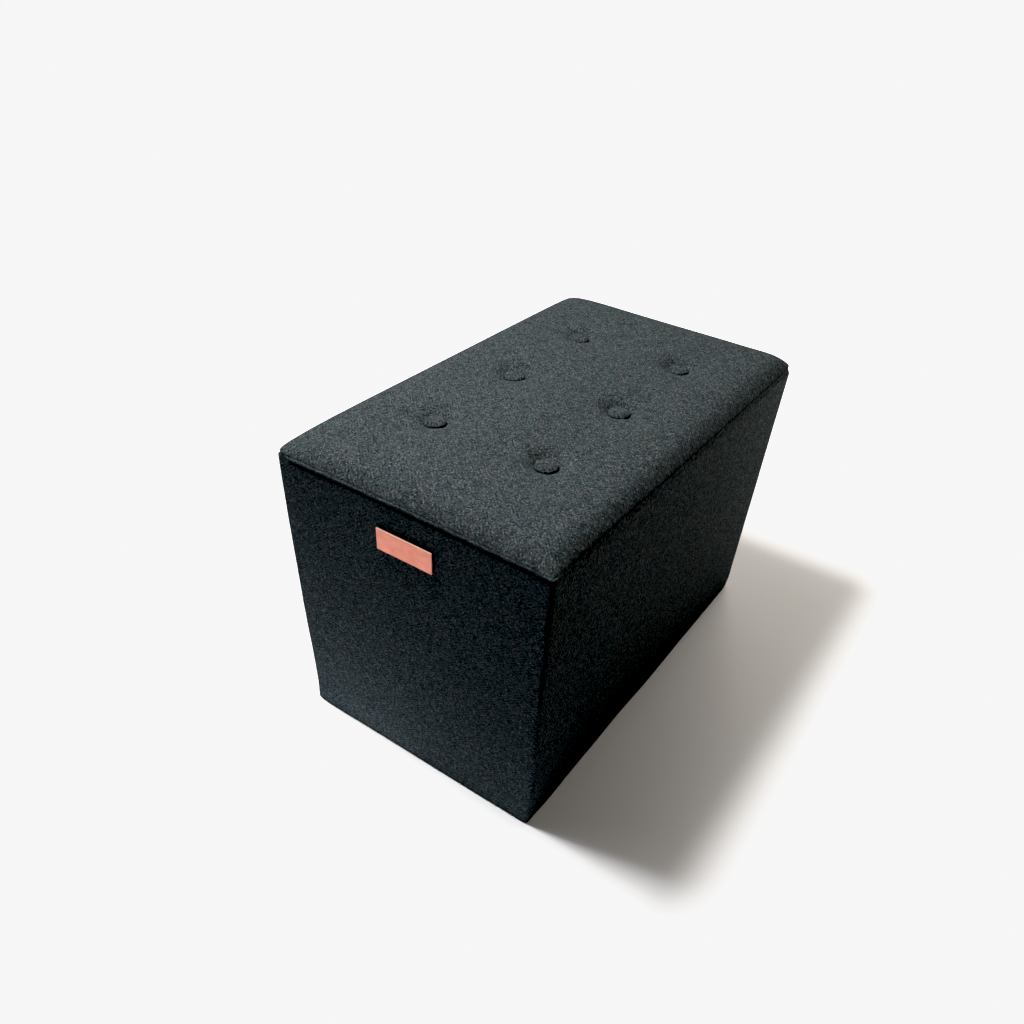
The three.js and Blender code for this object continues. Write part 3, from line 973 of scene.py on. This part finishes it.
def charcoal_cloth(twill):
    material, g, shader = new_material("charcoal heathered cloth")
    where = g.node("TexCoord")
    weave = g.node("Group")
    weave.node_tree = twill
    g.feed(weave, Place=where.outputs["Object"], Normal=where.outputs["Normal"])
    g.feed(shader, Base_Color=weave.outputs["Color"], Roughness=0.9, Specular_IOR_Level=0.0)
    add_bump(g, shader, weave.outputs["Height"], strength=0.7, distance=0.35 * MM)
    return material


# Plain cloth: fine fibres and wide patches, and the share of each
PLAIN_DARK = (0.012, 0.013, 0.014, 1)
PLAIN_LIGHT = (0.045, 0.047, 0.05, 1)
PLAIN_FIBRE = (900.0, 4.0, 0.7)
PLAIN_PATCH = (30.0, 3.0)
PLAIN_SHARES = (0.6, 0.4)


def plain_cloth():
    material, g, shader = new_material("plain dark cloth")
    place = g.node("TexCoord").outputs["Object"]
    fibre = g.noise(place, *PLAIN_FIBRE)
    tone = g.weighted((fibre, PLAIN_SHARES[0]), (g.noise(place, *PLAIN_PATCH), PLAIN_SHARES[1]))
    g.feed(shader, Base_Color=g.mix(tone, PLAIN_DARK, PLAIN_LIGHT), Roughness=0.95)
    add_bump(g, shader, fibre, strength=0.4, distance=0.2 * MM)
    return material


# Copper: fine grain along the plate and wide clouds, and a painted highlight: the colour is paler where the
# edge turns up to the light
COPPER_DARK = (0.38, 0.12, 0.080, 1)
COPPER_BRIGHT = (0.54, 0.200, 0.148, 1)
COPPER_PAINTED_HIGHLIGHT = (1.0, 0.62, 0.47, 1)
GRAIN_STRETCH = (60, 60, 1500)
CLOUD_NOISE = (60.0, 3.0)
COPPER_SHARES = (0.4, 0.6)
COPPER_TONES = (0.35, 0.65)
PAINTED_HIGHLIGHT_UPWARD = (0.3, 0.8)
COPPER_ROUGHNESS = (0.32, 0.5)


def copper_plate():
    material, g, shader = new_material("satin copper plate")
    place = g.node("TexCoord").outputs["Object"]
    grain = g.noise(g.vector("MULTIPLY", place, GRAIN_STRETCH), 1.0, 3.0)
    cloud = g.noise(place, *CLOUD_NOISE)
    tone = g.remap(g.weighted((grain, COPPER_SHARES[0]), (cloud, COPPER_SHARES[1])), *COPPER_TONES)
    metal = g.mix(tone, COPPER_DARK, COPPER_BRIGHT)
    # Painted highlight: the more the surface faces up, the paler its colour, as if the edge caught the light
    upward = g.split(g.node("TexCoord").outputs["Normal"])[2]
    painted_highlight = g.remap(upward, *PAINTED_HIGHLIGHT_UPWARD)
    roughness = g.remap(cloud, 0, 1, *COPPER_ROUGHNESS)
    g.feed(shader, Base_Color=g.mix(painted_highlight, metal, COPPER_PAINTED_HIGHLIGHT), Roughness=roughness, Metallic=0.85)
    return material


# Floor, light and background

BLACK = (0.0, 0.0, 0.0, 1)
WHITE = (1.0, 1.0, 1.0, 1)

# The floor looks pale but throws little light back, and glows evenly far from the bench
FLOOR_SIZE = 40.0
FLOOR_COLOR = (0.95, 0.945, 0.95, 1)
FLOOR_BOUNCE = (0.05, 0.05, 0.05, 1)
POOL_FADE = (0.6, 1.1)

# The key light stands along a slope from the lid's right edge, inside a wider halo that softens its shadow
LIT_EDGE = (0.178, 0.0, 0.39)
KEY_SLOPE = (-0.545, -0.225, 1.0)
KEY_DISTANCE = 1.6
KEY_SIZE = (0.34, 0.22)
KEY_POWER = 41.0
KEY_COLOR = (1.01, 1.0, 0.985)
HALO_SIZE = (0.9, 0.7)
HALO_POWER = 5.0

COOL_LIGHT = (0.95, 1.0, 1.07)
WARM_LIGHT = (1.06, 0.99, 0.90)

# Soft boxes round the bench: name, azimuth and elevation in degrees, size in metres, power in watts, colour
BOX_DISTANCE = 1.8
LIGHT_AIM = (0.1, 0.0, 0.2)
SOFT_BOXES = [
    ("left_box", 201, 48, 0.5, 12.5, COOL_LIGHT),
    ("back_box", 100, 35, 0.6, 7.8, WARM_LIGHT),
    ("low_back_box", 80, 20, 0.6, 8.0, WARM_LIGHT),
    ("high_back_box", 120, 50, 0.6, 1.5, WARM_LIGHT),
    ("high_right_box", 60, 70, 0.6, 1.0, WARM_LIGHT),
    ("right_box", 10, 30, 0.8, 2.3, WARM_LIGHT),
]

# White cards that lie on the floor and throw light up: name, x and y of two corners, brightness, colour
CARD_HEIGHT = 0.5 * MM
CARDS = [
    ("front_left_card", (-0.4, -0.5), (0.0, -0.305), 2.9, COOL_LIGHT),
    ("front_right_card", (0.0, -0.5), (0.4, -0.305), 1.5, COOL_LIGHT),
    ("front_card", (-0.6, -0.8), (0.0, -0.5), 2.5, COOL_LIGHT),
    ("back_card", (0.183, 0.3), (0.7, 0.8), 1.7, WARM_LIGHT),
    ("far_card", (0.183, 0.8), (1.2, 1.8), 22.0, WARM_LIGHT),
]

# The view's curve bends at two points and ends below white
BLACK_LEVEL = (0.0083, 0.0083, 0.0081)
CURVE_BENDS = [(0.7, 0.7), (0.85, 0.84)]
CURVE_END = (1, 0.925)


def floor():
    half = FLOOR_SIZE / 2
    corners = [(-half, -half, 0), (half, -half, 0), (half, half, 0), (-half, half, 0)]
    piece = new_piece("floor", corners, [(0, 1, 2, 3)])
    material, g, shader = new_material("pale floor")
    bounced = g.node("LightPath").outputs["Is Diffuse Ray"]
    g.feed(shader, Base_Color=g.mix(bounced, FLOOR_COLOR, FLOOR_BOUNCE), Roughness=0.9,
           Specular_IOR_Level=0.0)
    distance = g.feed(g.node("VectorMath", operation="LENGTH"), i0=g.node("TexCoord").outputs["Object"])
    glow = g.mix(g.remap(distance.outputs["Value"], *POOL_FADE), BLACK, WHITE)
    g.feed(shader, Emission_Color=g.mix(bounced, glow, BLACK), Emission_Strength=1.0)
    piece.data.materials.append(material)


def area_light(name, place, aim, size, power, color=(1, 1, 1)):
    data = bpy.data.lights.new(name, "AREA")
    data.shape = "RECTANGLE"
    data.size, data.size_y = size
    data.energy = power
    data.color = color
    light = bpy.data.objects.new(name, data)
    light.location = place
    light.rotation_euler = (Vector(aim) - Vector(place)).to_track_quat("-Z", "Y").to_euler()
    light.visible_camera = False
    light.visible_glossy = False
    bpy.context.scene.collection.objects.link(light)


def soft_boxes():
    key_place = Vector(LIT_EDGE) + KEY_DISTANCE * Vector(KEY_SLOPE).normalized()
    area_light("key_light", key_place, LIT_EDGE, KEY_SIZE, KEY_POWER, KEY_COLOR)
    area_light("key_halo", key_place, LIT_EDGE, HALO_SIZE, HALO_POWER)
    for name, azimuth, elevation, size, power, color in SOFT_BOXES:
        a, e = math.radians(azimuth), math.radians(elevation)
        toward = Vector((math.cos(a) * math.cos(e), math.sin(a) * math.cos(e), math.sin(e)))
        area_light(name, Vector(LIGHT_AIM) + BOX_DISTANCE * toward, LIGHT_AIM, (size, size), power, color)


def cards():
    for name, low, high, brightness, color in CARDS:
        middle = Vector(((low[0] + high[0]) / 2, (low[1] + high[1]) / 2, CARD_HEIGHT))
        size = (high[0] - low[0], high[1] - low[1])
        power = math.pi * size[0] * size[1] * brightness
        area_light(name, middle, middle + Vector((0, 0, 1)), size, power, color)


def view_curve():
    view = bpy.context.scene.view_settings
    view.view_transform = "Standard"
    view.use_curve_mapping = True
    mapping = view.curve_mapping
    mapping.black_level = BLACK_LEVEL
    mapping.extend = "HORIZONTAL"
    all_colors = mapping.curves[3]
    all_colors.points[0].location = (0, 0)
    all_colors.points[1].location = CURVE_END
    for bend in CURVE_BENDS:
        all_colors.points.new(*bend)
    mapping.update()


def studio():
    floor()
    soft_boxes()
    cards()
    world = bpy.data.worlds.new("studio")
    world.use_nodes = True
    bpy.context.scene.world = world
    g = Graph(world.node_tree)
    bounced = g.node("LightPath").outputs["Is Diffuse Ray"]
    background = world.node_tree.nodes["Background"]
    g.put(background.inputs["Color"], g.mix(bounced, WHITE, BLACK))
    view_curve()


photo_camera()
cloth = charcoal_cloth(build_heathered_twill(build_cloth_plane()))
hidden_cloth = plain_cloth()
box_cover().data.materials.append(cloth)
lid_pad().data.materials.append(cloth)
for button_node in BUTTON_NODES:
    covered_button(button_node).data.materials.append(cloth)
for board_node in ("base_board", "lid_board"):
    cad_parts[board_node].data.materials.clear()
    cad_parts[board_node].data.materials.append(hidden_cloth)
metal_plate().data.materials.append(copper_plate())
studio()
